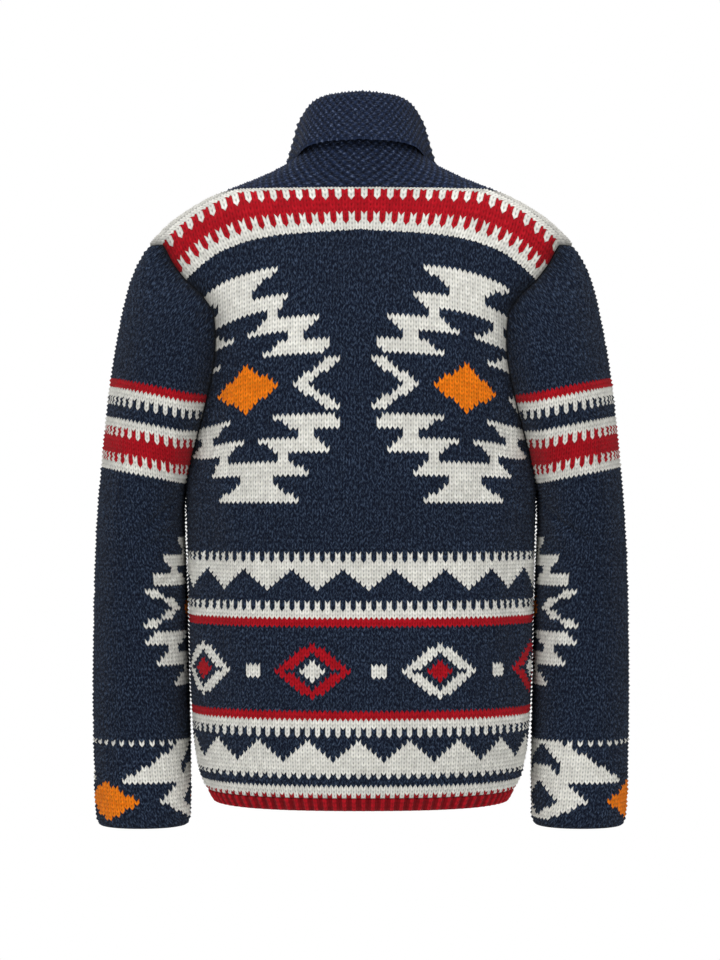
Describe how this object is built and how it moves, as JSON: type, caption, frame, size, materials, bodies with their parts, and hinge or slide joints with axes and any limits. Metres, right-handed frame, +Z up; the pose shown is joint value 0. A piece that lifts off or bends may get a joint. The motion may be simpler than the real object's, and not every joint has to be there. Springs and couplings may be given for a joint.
{
  "type": "open-front shawl-collar cardigan",
  "caption": "Chunky knitted open-front cardigan with a shawl collar, geometric colourwork bands and a ribbed hem, in its hollow worn form.",
  "frame": {"origin": "middle of the neck opening, level with the neck seam at the back", "axes": "+Z up, the front faces -Y, the wearer's left side is at +X"},
  "size_m": [0.589, 0.2868, 0.7951],
  "materials": {
    "colourwork_wool": "matte",
    "marled_navy_wool": "matte",
    "red_wool": "matte"
  },
  "bodies": {
    "root": {"back": "colourwork_wool", "back_yoke": "colourwork_wool", "left_front": "colourwork_wool", "right_front": "colourwork_wool", "left_yoke": "colourwork_wool", "right_yoke": "colourwork_wool", "left_sleeve": "colourwork_wool", "right_sleeve": "colourwork_wool", "shawl_collar": "marled_navy_wool", "back_hem": "red_wool", "left_hem": "red_wool", "right_hem": "red_wool"}
  },
  "joints": []
}
